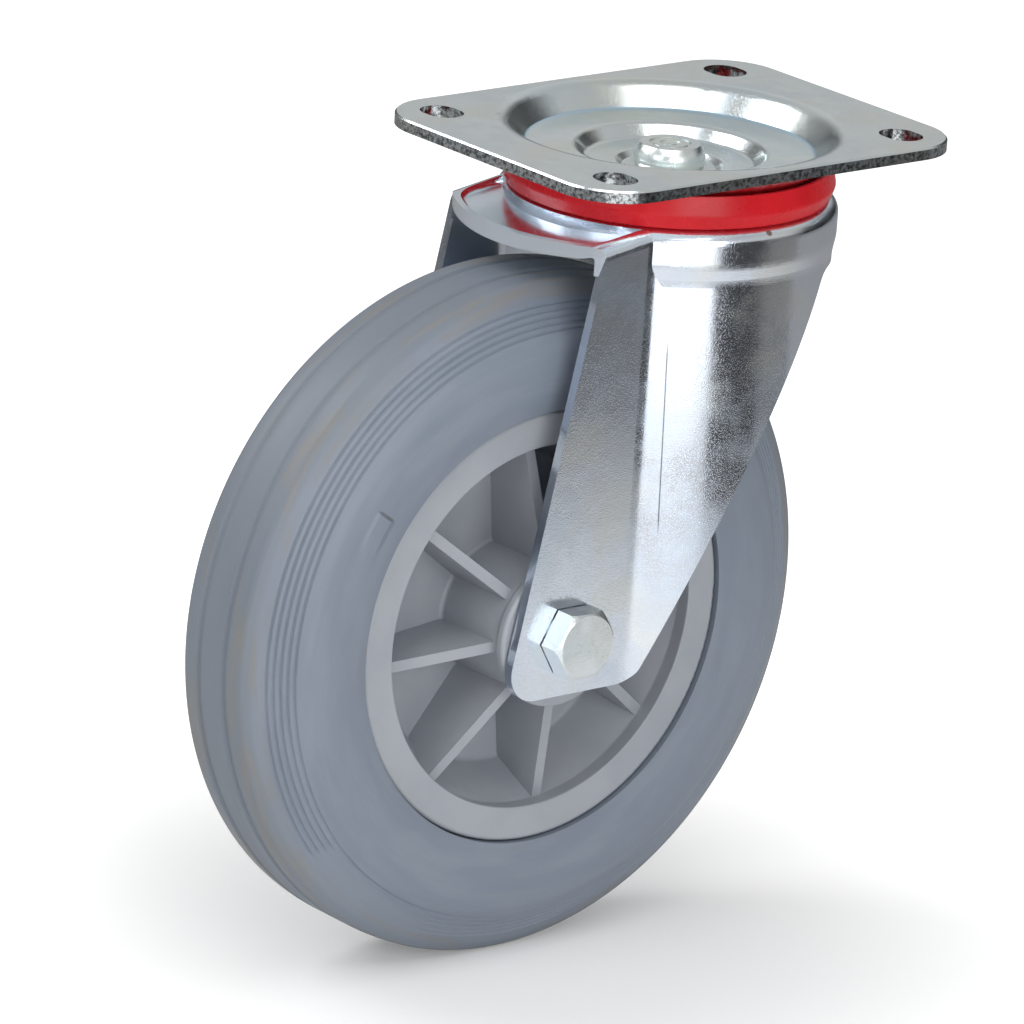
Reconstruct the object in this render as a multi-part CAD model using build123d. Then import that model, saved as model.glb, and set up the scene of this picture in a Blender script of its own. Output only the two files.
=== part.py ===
from build123d import *
import os
from math import atan2, cos, pi, radians, sin, sqrt, tan

# A plate-mounted swivel castor with a rubber-tyred wheel. Millimetres.
# Origin: centre of the plate's mounting face, on the swivel axis. +Z is up.
# +Y is the direction of travel, so the wheel trails on the -Y side, and the axle lies along X.

# ---------------------------------------------------------------- whole castor
TOTAL_HEIGHT = 235.0          # mounting face to the floor
HEAD_ROOM = 35.0              # mounting face to the top of the tread
SWIVEL_OFFSET = 54.0          # swivel axis to axle

# ---------------------------------------------------------------- top plate
PLATE_LENGTH = 135.0          # along the travel
PLATE_WIDTH = 106.0
PLATE_SHEET = 3.5
PLATE_CORNER_R = 18.0
PLATE_EDGE_BREAK = 0.5
SLOT_PITCH_LONG = 105.0       # between slot centres along the travel
SLOT_PITCH_CROSS = 77.5       # between slot centres across it
SLOT_WIDTH = 11.0
SLOT_LENGTH = 13.5

DISH_MARGIN = 5.4             # plate's long edge to where the flat turns down, before rounding
DISH_LEAN = 6.3               # how far the dish's wall leans in
DISH_DEPTH = 7.0              # flat to upper race land
WELL_LEAN = 3.3
WELL_DEPTH = 4.0              # race land to the floor round the pin
PIN_SEAT_R = 15.4             # small second step under the pin's head
PIN_SEAT_DEPTH = 1.8
STEP_RUN = 2.0                # how far a small step leans
DISH_BENDS = (5.0, 1.2, 2.2, 1.6, 1.2, 0.8)    # bend radii from the flat in to the pin's seat

# ---------------------------------------------------------------- swivel bearing
BALL_D = 6.35
BALL_SPACING = 2.0            # between neighbouring balls, at least
RACE_LAND = 6.3               # upper balls' pitch circle to the outside of the land
RACE_LAND_INSIDE = 7.5        # and to its inside
RACES_APART = 15.5            # upper to lower pitch circle
RACE_DEPTH = 0.9              # how deep a ball lies in its groove
BALL_SEAT_GAP = 0.05          # ball to the race of its own body
BALL_RUN_GAP = 0.25           # ball to the race that turns past it
LOWER_CUP_SHEET = 3.0
LOWER_CUP_LAND = 6.5          # lower balls' pitch circle to the cup's rim
LOWER_CUP_RIM = 2.0           # how far its edge turns up
LOWER_CUP_BEND_R = 1.5

PIN_D = 16.0
PIN_HOLE_GAP = 2.5            # the pin carries nothing sideways, the balls do
PIN_HEAD_R = 10.3
PIN_HEAD_TOP_R = 8.6
PIN_HEAD_HEIGHT = 7.2
PIN_HEAD_UNDERCUT = 0.6
PIN_FOOT_R = 12.0
PIN_FOOT_HEIGHT = 4.0
PIN_HEAD_WIDEST = 0.45        # share of the head's height
PIN_FOOT_WAIST = (0.86, 0.35)   # shares of the foot's radius and height where its arc passes
PIN_FOOT_FLAT = 0.5           # share of the foot's radius
PIN_MARK_DEPTH = 0.35
PIN_MARKS = ((0.58, 0.70), (0.22, 0.34))    # turning marks, as shares of the head's top radius

# ---------------------------------------------------------------- fork
FORK_SHEET = 3.0
DRUM_PROUD = 0.4              # the drum, which carries the legs, outside the top of the dish
HEAD_RING_PROUD = 0.9         # the head stands proud of the drum
HEAD_RING_BOTTOM = -28.5
HEAD_RING_TAPER = 5.0         # height over which the ring returns to the drum
HEAD_RING_FADE_R = 12.0
SHOULDER_Z = -18.5            # flat under the dust seal
SHOULDER_BEND_R = 3.8
CROWN_LAND = 6.0              # raised land that carries the upper balls, each side of them
CROWN_WELL_DEPTH = 2.6
CROWN_BENDS = (0.6, 1.0, 1.6, 1.6)    # bend radii from the shoulder in to the well
SKIRT_BOTTOM = -36.0          # lower edge of the drum in front
LEG_GAP = 64.0                # between the legs' inner faces
LEG_BEND_R = 7.0              # hollow bend where a leg leaves the drum
ROOF_Z = -22.0                # top of the roof between the legs, at its lip
ROOF_RISE = 3.3               # how far it rises from the lip to the boss
ROOF_BEND_R = 4.0
ROOF_UNDER_SHOULDER = 0.4
ROOF_REACH = 15.0             # drum to the roof's arched lip
BOSS_INSET = 1.3              # wall that stands on the roof, inside the drum
TROUGH_RIM = 3.0              # lip to the trough drawn round the boss
TROUGH_HALF_WIDTH = 30.0
TROUGH_CORNER_R = 9.0
TROUGH_DEPTH = 1.8            # under the lip's height, at the rear
TROUGH_SLANT = 30.0           # degrees by which its wall leans out
TROUGH_TILT = 7.0             # degrees by which its floor rises to the tips
TROUGH_BEND_R = 1.5
LEG_ROOF_REACH = 49.8         # swivel axis back to a leg's rear edge at the roof
LEG_END_REACH = 22.9          # leg end behind the axle, before rounding
LEG_END_FRONT = 22.4          # leg end in front of the axle
LEG_END_DROP = 16.5           # leg end below the axle
LEG_END_REAR_R = 9.0
LEG_END_FRONT_R = 7.0
FRONT_CUT_Y = 25.5            # where the slanting cut reaches the skirt
FRONT_CUT_SAG = 3.7
FRONT_CUT_R = 6.0

# ---------------------------------------------------------------- dust seal
SEAL_PROUD = 0.1              # its widest line outside the top of the dish
SEAL_TOP_LEAN = 1.1           # widest line to the top edge
SEAL_BOTTOM_LEAN = 1.3        # and to the bottom edge
SEAL_LAND_GAP = 1.4           # seal to the raised land inside it
SEAL_RIDGE_HEIGHT = 4.4       # widest line above the fork's shoulder
SEAL_RIM_HEIGHT = 2.3         # rim that stands up round the dish
SEAL_RIM_GAP = 0.9            # its clearance from the dish's wall
SEAL_RIDGE_R = 2.0
SEAL_EDGE_BREAK = 0.6
SEAL_FOOT_INSET = 1.4
SEAL_GAP = 0.35               # seal to the plate that turns over it

# ---------------------------------------------------------------- axle
BOLT_D = 12.0
BOLT_HOLE_GAP = 0.2
HEX_ACROSS_FLATS = 19.0
BOLT_HEAD_HEIGHT = 7.5
WASHER_FACE = 0.4
HEX_CHAMFER = 30.0            # degrees
HEX_FLAT = 0.95               # round top face, as a share of the width across flats
WASHER_R = 12.0
WASHER_SHEET = 2.5
NUT_HEIGHT = 12.0
NUT_COLLAR_HEIGHT = 3.4       # round part that holds the insert
INSERT_HEIGHT = 2.2
INSERT_WALL = 1.4
INSERT_COVER = 0.6            # nut's lip over the insert
NUT_COLLAR = 0.9              # its radius, as a share of half the width across flats
BOLT_STICK_OUT = 2.5
BOLT_TIP_BREAK = 1.0
SLEEVE_D = 20.0

# ---------------------------------------------------------------- wheel
WHEEL_WIDTH = 50.0
CROWN_DROP = 0.5              # tread centre to the tread's edge
TREAD_FLAT_X = 9.0            # half width of the flat tread
TREAD_EDGE_X = 12.9
TREAD_EDGE_R = 2.5
TYRE_SHOULDER_DROP = 16.0     # tread to the shoulder's foot
TYRE_SHOULDER_R = 8.0
TYRE_SIDE_BULGE = 1.5         # side's middle outside its two ends
TREAD_ROUND_R = 30.0          # where the flat tread starts to fall
TREAD_GROOVE_X = 5.8
TREAD_GROOVE_WIDTH = 2.6
TREAD_GROOVE_DEPTH = 0.7
SIDE_RINGS = 5
SIDE_RING_DROP = 13.0         # tread to the innermost ring
SIDE_RING_PITCH = 1.63        # in radius
SIDE_RING_WIDTH = 0.9
SIDE_RING_DEPTH = 0.4

RIM_FACE_X = 22.5             # ring face, from the wheel's middle plane
RIM_BORE_R = 53.7
RIM_RING = 9.9                # width of the ring face
RIM_FLANGE = 4.0
RIM_EDGE_R = 1.2
RIM_WALL = 4.8
RIM_LEAN = 8.1                # rim's inside, from the ring face down to the web
RIM_BORE_EDGE_R = 0.5
RIM_BACK_EDGE_R = 0.4
RIM_WEB_FILLET = 2.0
RIM_SEAT_FILLET = 0.6         # where the tyre sits against the flange
RIM_WELL_FILLET = 2.0
TYRE_RIM_GAP = 0.4
WEB_THICKNESS = 4.0
RIBS = 8
RIB_THICKNESS = 3.2
RIB_FIRST_ANGLE = 6.0         # degrees from +Y towards +Z
RIB_SETBACK = 4.7             # rib edge below the ring face at the rim
RIB_HUB_X = 25.3
HUB_R = 20.0
HUB_DRAFT = 0.5
HUB_LIP_R = 21.4
HUB_LIP = 2.6
HUB_LIP_SLANT = 1.5
HUB_FILLETS = (0.4, 1.2, 0.9, 1.0, 1.2)    # from the bore's end round the lip to the web
RIB_ROOT = 1.0                # how far a rib runs into the hub and the rim
HUB_END_GAP = 1.0             # hub end to the leg
HUB_BORE_R = 15.5

# ---------------------------------------------------------------- roller bearing
ROLLER_D = 4.0
ROLLERS = 12
ROLLER_LENGTH = 36.0
ROLLER_GAP = 0.05             # roller to sleeve and to shell
ROLLER_POCKET_GAP = 0.15
SHELL_LENGTH = 46.0
CAGE_GAP = 0.4
CAGE_END = 3.0
SEAL_RING_RECESS = 0.6        # end rings sit this far inside the hub
SEAL_RING_GAP = 0.3

# ---------------------------------------------------------------- worked out
WHEEL_D = TOTAL_HEIGHT - HEAD_ROOM
AXLE_Y = -SWIVEL_OFFSET
AXLE_Z = -HEAD_ROOM - WHEEL_D / 2
BALL_R = BALL_D / 2
PIN_R = PIN_D / 2
BOLT_R = BOLT_D / 2
SLEEVE_R = SLEEVE_D / 2
LEG_INNER = LEG_GAP / 2
LEG_OUTER = LEG_INNER + FORK_SHEET
DISH_R = PLATE_WIDTH / 2 - DISH_MARGIN
DISH_FLOOR_R = DISH_R - DISH_LEAN
UPPER_RACE_R = DISH_FLOOR_R - RACE_LAND
LOWER_RACE_R = UPPER_RACE_R - RACES_APART
UPPER_BALLS = int(2 * pi * UPPER_RACE_R / (BALL_D + BALL_SPACING))
LOWER_BALLS = int(2 * pi * LOWER_RACE_R / (BALL_D + BALL_SPACING))
WELL_R = UPPER_RACE_R - RACE_LAND_INSIDE
WELL_FLOOR_R = WELL_R - WELL_LEAN
LOWER_CUP_R = LOWER_RACE_R + LOWER_CUP_LAND
CROWN_R = UPPER_RACE_R + CROWN_LAND
CROWN_WELL_R = UPPER_RACE_R - CROWN_LAND
DRUM_R = DISH_R + DRUM_PROUD
HEAD_RING_R = DRUM_R + HEAD_RING_PROUD
BOSS_R = DRUM_R - BOSS_INSET
LIP_R = DRUM_R + ROOF_REACH
SEAL_R = DISH_R + SEAL_PROUD
SEAL_INNER_R = CROWN_R + SEAL_LAND_GAP
RIM_R = RIM_BORE_R + RIM_RING
RIM_WAIST_R = RIM_BORE_R - RIM_LEAN
BEAD_R = RIM_R + TYRE_RIM_GAP
LAND_Z = -DISH_DEPTH
WELL_Z = LAND_Z - WELL_DEPTH
PIN_SEAT_Z = WELL_Z - PIN_SEAT_DEPTH
UPPER_BALL_Z = LAND_Z - PLATE_SHEET + RACE_DEPTH - BALL_SEAT_GAP - BALL_R
CROWN_Z = UPPER_BALL_Z - BALL_R - BALL_RUN_GAP + RACE_DEPTH
CROWN_WELL_Z = CROWN_Z - CROWN_WELL_DEPTH
LOWER_BALL_Z = CROWN_WELL_Z - FORK_SHEET + RACE_DEPTH - BALL_RUN_GAP - BALL_R
CUP_Z = LOWER_BALL_Z - BALL_R - BALL_SEAT_GAP + RACE_DEPTH
CUP_BOTTOM_Z = CUP_Z - LOWER_CUP_SHEET
ROLLER_PITCH_R = SLEEVE_R + ROLLER_GAP + ROLLER_D / 2
SHELL_INNER_R = ROLLER_PITCH_R + ROLLER_D / 2 + ROLLER_GAP
HUB_END_X = LEG_INNER - HUB_END_GAP
BELOW_ALL = -TOTAL_HEIGHT     # a depth past the end of every leg
CUT = 1.0                     # how far a cutting body runs past what it cuts
SAME = 0.01                   # points nearer than this are one
LEAST_BEND_R = 0.4


# ================================================================ helpers
def mitred(points, distance):
    """Shift an open polyline to its right by distance, with mitred corners."""
    shifted = []
    for i, (x, y) in enumerate(points):
        before = points[max(i - 1, 0)]
        after = points[min(i + 1, len(points) - 1)]
        into = atan2(y - before[1], x - before[0]) if i else atan2(after[1] - y, after[0] - x)
        away = atan2(after[1] - y, after[0] - x) if i < len(points) - 1 else into
        middle, half = (into + away) / 2, (away - into) / 2
        reach = distance / cos(half)
        shifted.append((x + reach * sin(middle), y - reach * cos(middle)))
    return shifted


def rounded_line(points, radii):
    """An open line in the XZ plane, each inner corner with its own radius."""
    ends = [Vector(x, 0, z) for x, z in points]
    return FilletPolyline(*ends, radius=radii)


def turned_radii(points, radii, distance):
    """Corner radii of the same sheet's other face."""
    other = []
    for i, radius in enumerate(radii, start=1):
        (ax, ay), (bx, by), (cx, cy) = points[i - 1:i + 2]
        turn = (bx - ax) * (cy - by) - (by - ay) * (cx - bx)
        other.append(max(radius - distance if turn > 0 else radius + distance, LEAST_BEND_R))
    return other


def under_line(points, radii):
    """The body of revolution under a line that rises from its first point and ends on the swivel axis."""
    line = rounded_line(points, radii)
    (first_x, first_z), (last_x, last_z) = points[0], points[-1]
    closing = Polyline((last_x, 0, last_z), (last_x, 0, first_z), (first_x, 0, first_z))
    return revolve(make_face(Curve() + [line, closing]), Axis.Z)


def turned_sheet(points, radii, thickness):
    """Sheet of one thickness, turned about Z. The points are its upper face, from outside to inside."""
    lower = mitred(points, -thickness)
    upper_line = rounded_line(points, radii)
    lower_line = rounded_line(lower, turned_radii(points, radii, thickness))
    ends = [Line((a[0], 0, a[1]), (b[0], 0, b[1]))
            for a, b in ((points[0], lower[0]), (points[-1], lower[-1]))]
    return revolve(make_face(Curve() + [upper_line, lower_line, *ends]), Axis.Z)


def turned(points):
    """A body turned about Z from a closed outline of (radius, height) points."""
    return revolve(make_face(Polyline(*[(r, 0, z) for r, z in points], close=True)), Axis.Z)


def along_axle(body):
    """Take a body made about Z to the axle: its +Z becomes +X."""
    return Pos(0, AXLE_Y, AXLE_Z) * Rot(0, 90, 0) * body


def race(pitch_r, centre_z, groove_r):
    return Pos(0, 0, centre_z) * Torus(pitch_r, groove_r)


def ring_of(count, pitch_r, centre_z, body):
    return [Rot(0, 0, 360 * i / count) * Pos(pitch_r, 0, centre_z) * body for i in range(count)]


# ================================================================ top plate
def top_plate():
    flat = extrude(RectangleRounded(PLATE_WIDTH, PLATE_LENGTH, PLATE_CORNER_R), -PLATE_SHEET)
    flat = chamfer(flat.edges().group_by(Axis.Z)[-1], PLATE_EDGE_BREAK)
    flange_r = (PLATE_WIDTH / 2 + DISH_R) / 2 + CUT
    flat -= Pos(0, 0, -PLATE_SHEET / 2) * Cylinder(flange_r, 2 * PLATE_SHEET)
    dish = turned_sheet(
        [(flange_r, 0), (DISH_R, 0), (DISH_FLOOR_R, LAND_Z), (WELL_R, LAND_Z),
         (WELL_FLOOR_R, WELL_Z), (PIN_SEAT_R, WELL_Z), (PIN_SEAT_R - STEP_RUN, PIN_SEAT_Z),
         (PIN_R, PIN_SEAT_Z)],
        DISH_BENDS, PLATE_SHEET)
    plate = flat + dish
    slot = Pos(0, 0, -PLATE_SHEET / 2) * extrude(SlotOverall(SLOT_LENGTH, SLOT_WIDTH), PLATE_SHEET, both=True)
    plate -= [Pos(x, y, 0) * slot for x in (-SLOT_PITCH_CROSS / 2, SLOT_PITCH_CROSS / 2)
              for y in (-SLOT_PITCH_LONG / 2, SLOT_PITCH_LONG / 2)]
    return plate - race(UPPER_RACE_R, UPPER_BALL_Z, BALL_R + BALL_SEAT_GAP)


# ================================================================ swivel bearing
def king_pin():
    head_z = PIN_SEAT_Z + PIN_HEAD_HEIGHT
    foot_z = CUP_BOTTOM_Z - PIN_FOOT_HEIGHT
    neck_r = PIN_HEAD_R - PIN_HEAD_UNDERCUT
    waist_r, waist_height = PIN_FOOT_WAIST
    side = ThreePointArc((PIN_HEAD_TOP_R, 0, head_z),
                         (PIN_HEAD_R, 0, PIN_SEAT_Z + PIN_HEAD_HEIGHT * PIN_HEAD_WIDEST),
                         (neck_r, 0, PIN_SEAT_Z))
    foot = ThreePointArc((PIN_FOOT_R, 0, CUP_BOTTOM_Z),
                         (PIN_FOOT_R * waist_r, 0, foot_z + PIN_FOOT_HEIGHT * waist_height),
                         (PIN_FOOT_R * PIN_FOOT_FLAT, 0, foot_z))
    rest = [Line((0, 0, head_z), (PIN_HEAD_TOP_R, 0, head_z)),
            Polyline((neck_r, 0, PIN_SEAT_Z), (PIN_R, 0, PIN_SEAT_Z), (PIN_R, 0, CUP_BOTTOM_Z),
                     (PIN_FOOT_R, 0, CUP_BOTTOM_Z)),
            Polyline((PIN_FOOT_R * PIN_FOOT_FLAT, 0, foot_z), (0, 0, foot_z), (0, 0, head_z))]
    pin = revolve(make_face(Curve() + [side, foot, *rest]), Axis.Z)
    mark = [Pos(0, 0, head_z) * (Cylinder(PIN_HEAD_TOP_R * outer, 2 * PIN_MARK_DEPTH)
                                 - Cylinder(PIN_HEAD_TOP_R * inner, 2 * PIN_MARK_DEPTH))
            for inner, outer in PIN_MARKS]
    return pin - mark


def lower_race():
    rim_r = LOWER_CUP_R + LOWER_CUP_RIM
    cup = turned_sheet([(rim_r, CUP_Z + LOWER_CUP_RIM), (LOWER_CUP_R, CUP_Z), (PIN_R, CUP_Z)],
                       [LOWER_CUP_BEND_R], LOWER_CUP_SHEET)
    return cup - race(LOWER_RACE_R, LOWER_BALL_Z, BALL_R + BALL_SEAT_GAP)


def dust_seal():
    floor_z = LAND_Z - PLATE_SHEET - SEAL_GAP
    rim_z = floor_z + SEAL_RIM_HEIGHT
    wall_r, wall_z = mitred([(DISH_R, 0), (DISH_FLOOR_R, LAND_Z), (WELL_R, LAND_Z)], -PLATE_SHEET)[1]
    lean = DISH_LEAN / DISH_DEPTH
    outline = make_face(Polyline(*[(r, 0, z) for r, z in (
        (SEAL_INNER_R, SHOULDER_Z), (SEAL_INNER_R, floor_z),
        (wall_r + SEAL_RIM_GAP + (floor_z - wall_z) * lean, floor_z),
        (wall_r + SEAL_RIM_GAP + (rim_z - wall_z) * lean, rim_z), (SEAL_R - SEAL_TOP_LEAN, rim_z),
        (SEAL_R, SHOULDER_Z + SEAL_RIDGE_HEIGHT), (SEAL_R - SEAL_BOTTOM_LEAN, SHOULDER_Z + SEAL_EDGE_BREAK),
        (SEAL_R - SEAL_BOTTOM_LEAN - SEAL_FOOT_INSET, SHOULDER_Z))], close=True))
    ridge = outline.vertices().sort_by(Axis.X)[-1]
    return revolve(fillet(ridge, SEAL_RIDGE_R), Axis.Z)


# ================================================================ fork
def fork_plan(inset):
    """The fork seen from above: the drum with the two flat legs behind it."""
    drum_r, half_gap = DRUM_R - inset, LEG_OUTER - inset
    reach = 2 * LIP_R
    plan = Circle(drum_r) + Pos(0, -reach / 2, 0) * Rectangle(2 * half_gap, reach)
    bends = [v for v in plan.vertices() if -drum_r < v.Y < 0]
    return fillet(bends, LEG_BEND_R + inset)


def under_roof(drop):
    """Everything under the roof, which falls from the boss to its arched lip."""
    fall = ROOF_RISE / (LIP_R - BOSS_R)
    middle_z = ROOF_Z + LIP_R * fall - drop
    far_r = 4 * LIP_R
    return turned([(0, BELOW_ALL), (far_r, BELOW_ALL), (far_r, middle_z - far_r * fall), (0, middle_z)])


def fork_block(inset, drop, bend_r):
    """The drum and legs under the roof, with its edges bent, up to just under the shoulder."""
    block = Pos(0, 0, BELOW_ALL) * extrude(fork_plan(inset), -BELOW_ALL) & under_roof(drop)
    rim = [e for e in block.edges() if e.center().Z > 3 * ROOF_Z and e.center().Y > CUT - 2 * LIP_R
           and Vector(e.center().X, e.center().Y).length > CROWN_R - inset]
    block = fillet(rim, bend_r)
    return block - Pos(0, 0, SHOULDER_Z - ROOF_UNDER_SHOULDER - drop) * extrude(Circle(LIP_R), LIP_R)


def head_line():
    """Outer face of the fork's head from the drum over the shoulder to the swivel axis, with its radii."""
    points = [(DRUM_R, HEAD_RING_BOTTOM - 2 * HEAD_RING_TAPER), (DRUM_R, HEAD_RING_BOTTOM - HEAD_RING_TAPER),
              (HEAD_RING_R, HEAD_RING_BOTTOM), (HEAD_RING_R, SHOULDER_Z), (CROWN_R, SHOULDER_Z),
              (CROWN_R - STEP_RUN / 2, CROWN_Z), (CROWN_WELL_R, CROWN_Z),
              (CROWN_WELL_R - STEP_RUN, CROWN_WELL_Z), (0, CROWN_WELL_Z)]
    return points, [HEAD_RING_FADE_R, HEAD_RING_FADE_R, SHOULDER_BEND_R, *CROWN_BENDS]


def leg_outline():
    """The fork seen from the side: slanting rear edge, rounded leg end, bowed cut up to the skirt."""
    end_z = AXLE_Z - LEG_END_DROP
    roof_y = -LEG_ROOF_REACH
    rear = (AXLE_Y - LEG_END_REACH, end_z)
    front = (AXLE_Y + LEG_END_FRONT, end_z)
    skirt = (FRONT_CUT_Y, SKIRT_BOTTOM)
    ahead = 2 * DRUM_R
    edges = [Polyline((roof_y, -FORK_SHEET), (roof_y, ROOF_Z), rear, front),
             SagittaArc(front, skirt, FRONT_CUT_SAG),
             Polyline(skirt, (ahead, SKIRT_BOTTOM), (ahead, -FORK_SHEET), (roof_y, -FORK_SHEET))]
    outline = make_face(Curve() + edges)
    for corner, radius in ((rear, LEG_END_REAR_R), (front, LEG_END_FRONT_R), (skirt, FRONT_CUT_R)):
        at = [v for v in outline.vertices() if abs(v.X - corner[0]) < SAME and abs(v.Y - corner[1]) < SAME]
        outline = fillet(at, radius)
    return outline


def lip_arch():
    """Centre and radius of the roof's arched lip, which ends at the legs' rear edges."""
    centre_y = (LEG_ROOF_REACH**2 + LEG_OUTER**2 - LIP_R**2) / (2 * (LIP_R - LEG_ROOF_REACH))
    return centre_y, LIP_R + centre_y


def trough(sheet):
    """Space drawn into the roof round the boss, widened by the sheet for its underside."""
    centre_y, radius = lip_arch()
    plan = Pos(0, centre_y) * Circle(radius - TROUGH_RIM)
    plan &= Pos(0, -LIP_R) * Rectangle(2 * TROUGH_HALF_WIDTH, 2 * LIP_R - DRUM_R)
    plan = offset(fillet([v for v in plan.vertices() if v.Y < -CROWN_R], TROUGH_CORNER_R), sheet)
    bowl = extrude(plan, DRUM_R / 2, taper=-TROUGH_SLANT)
    bowl = fillet(bowl.edges().group_by(Axis.Z)[0], TROUGH_BEND_R + sheet)
    rear = LIP_R - TROUGH_RIM
    floor = Pos(0, -rear, ROOF_Z - TROUGH_DEPTH - sheet) * Rot(TROUGH_TILT, 0, 0) * Pos(0, rear, 0)
    return floor * bowl - Cylinder(BOSS_R - sheet, 4 * DRUM_R)


def fork():
    points, radii = head_line()
    inner = mitred(points, -FORK_SHEET)
    inner_radii = turned_radii(points, radii, FORK_SHEET)
    belly = trough(FORK_SHEET)
    body = fork_block(0, 0, ROOF_BEND_R) + under_line(points, radii) - trough(0)
    head_room = under_line(inner, inner_radii) - belly
    leg_room = fork_block(FORK_SHEET, FORK_SHEET, ROOF_BEND_R - FORK_SHEET) - belly
    body -= [head_room, leg_room]
    side_cut = extrude(Plane.YZ * leg_outline(), 2 * DRUM_R, both=True)
    arch_y, arch_r = lip_arch()
    lip = Pos(0, arch_y, ROOF_Z - TROUGH_DEPTH - 2 * FORK_SHEET) * extrude(Circle(arch_r), LIP_R)
    body &= side_cut + lip
    body -= Cylinder(PIN_R + PIN_HOLE_GAP, 4 * DRUM_R)
    body -= Pos(0, AXLE_Y, AXLE_Z) * Rot(0, 90, 0) * Cylinder(BOLT_R + BOLT_HOLE_GAP, 4 * DRUM_R)
    groove_r = BALL_R + BALL_RUN_GAP
    body -= race(UPPER_RACE_R, UPPER_BALL_Z, groove_r)
    return body - race(LOWER_RACE_R, LOWER_BALL_Z, groove_r)


# ================================================================ axle
def hexagon(height, across_flats):
    """A hexagon standing on Z = 0, a corner towards the leg's rear edge, its top chamfered."""
    corner_r = across_flats / sqrt(3)
    body = extrude(RegularPolygon(corner_r, 6, rotation=90), height)
    flat_r = across_flats / 2 * HEX_FLAT
    drop = tan(radians(HEX_CHAMFER)) * (corner_r - flat_r)
    cone = turned([(0, 0), (corner_r, 0), (corner_r, height - drop), (flat_r, height), (0, height)])
    return body & cone


def axle_bolt():
    tip_x = LEG_OUTER + WASHER_SHEET + NUT_HEIGHT + BOLT_STICK_OUT
    head = Pos(0, 0, LEG_OUTER + WASHER_FACE) * hexagon(BOLT_HEAD_HEIGHT - WASHER_FACE, HEX_ACROSS_FLATS)
    face = Pos(0, 0, LEG_OUTER) * extrude(Circle(HEX_ACROSS_FLATS / 2 * HEX_FLAT), WASHER_FACE)
    shank = turned([(0, -tip_x), (BOLT_R - BOLT_TIP_BREAK, -tip_x), (BOLT_R, BOLT_TIP_BREAK - tip_x),
                    (BOLT_R, LEG_OUTER), (0, LEG_OUTER)])
    return along_axle(head + face + shank)


def nut_washer():
    disc = Circle(WASHER_R) - Circle(BOLT_R + BOLT_HOLE_GAP)
    return along_axle(Pos(0, 0, -LEG_OUTER - WASHER_SHEET) * extrude(disc, WASHER_SHEET))


def axle_nut():
    hex_height = NUT_HEIGHT - NUT_COLLAR_HEIGHT
    collar_r = HEX_ACROSS_FLATS / 2 * NUT_COLLAR
    nut = hexagon(hex_height, HEX_ACROSS_FLATS)
    nut += Pos(0, 0, hex_height) * Cone(collar_r, collar_r * NUT_COLLAR, NUT_COLLAR_HEIGHT,
                                        align=(Align.CENTER, Align.CENTER, Align.MIN))
    return on_washer(nut - Cylinder(BOLT_R, 4 * NUT_HEIGHT) - insert_at_rest(0))


def nut_insert():
    return on_washer(insert_at_rest(BOLT_R))


def insert_at_rest(bore_r):
    """The locking insert inside the nut's collar, the nut standing on Z = 0."""
    ring = extrude(Circle(BOLT_R + INSERT_WALL), INSERT_HEIGHT)
    if bore_r:
        ring -= Cylinder(bore_r, 4 * INSERT_HEIGHT)
    return Pos(0, 0, NUT_HEIGHT - INSERT_COVER - INSERT_HEIGHT) * ring


def on_washer(body):
    """Turn a body that stands on Z = 0 outwards and seat it on the far washer."""
    return along_axle(Pos(0, 0, -LEG_OUTER - WASHER_SHEET) * Rot(180, 0, 0) * body)


def axle_sleeve():
    wall = Circle(SLEEVE_R) - Circle(BOLT_R + BOLT_HOLE_GAP)
    return along_axle(extrude(wall, LEG_INNER, both=True))


# ================================================================ wheel
def tyre_shoulder():
    """The straight shoulder of the tyre: the radius and half width of its foot and of the tread's edge."""
    top_r = WHEEL_D / 2
    foot = (top_r - TYRE_SHOULDER_DROP, WHEEL_WIDTH / 2 - TYRE_SIDE_BULGE)
    return foot, (top_r - CROWN_DROP, TREAD_EDGE_X)


def side_ring(radius):
    """Thin V-shaped ring cut into the tyre's shoulder."""
    (foot_r, foot_x), (edge_r, edge_x) = tyre_shoulder()
    up = Vector(edge_r - foot_r, 0, edge_x - foot_x).normalized()
    out = Vector(-up.Z, 0, up.X)
    surface = Vector(foot_r, 0, foot_x) + up * ((radius - foot_r) / up.X)
    mouth = surface + out * SIDE_RING_DEPTH
    corners = [surface - out * SIDE_RING_DEPTH, mouth + up * SIDE_RING_WIDTH, mouth - up * SIDE_RING_WIDTH]
    return turned([(c.X, c.Z) for c in corners])


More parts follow.
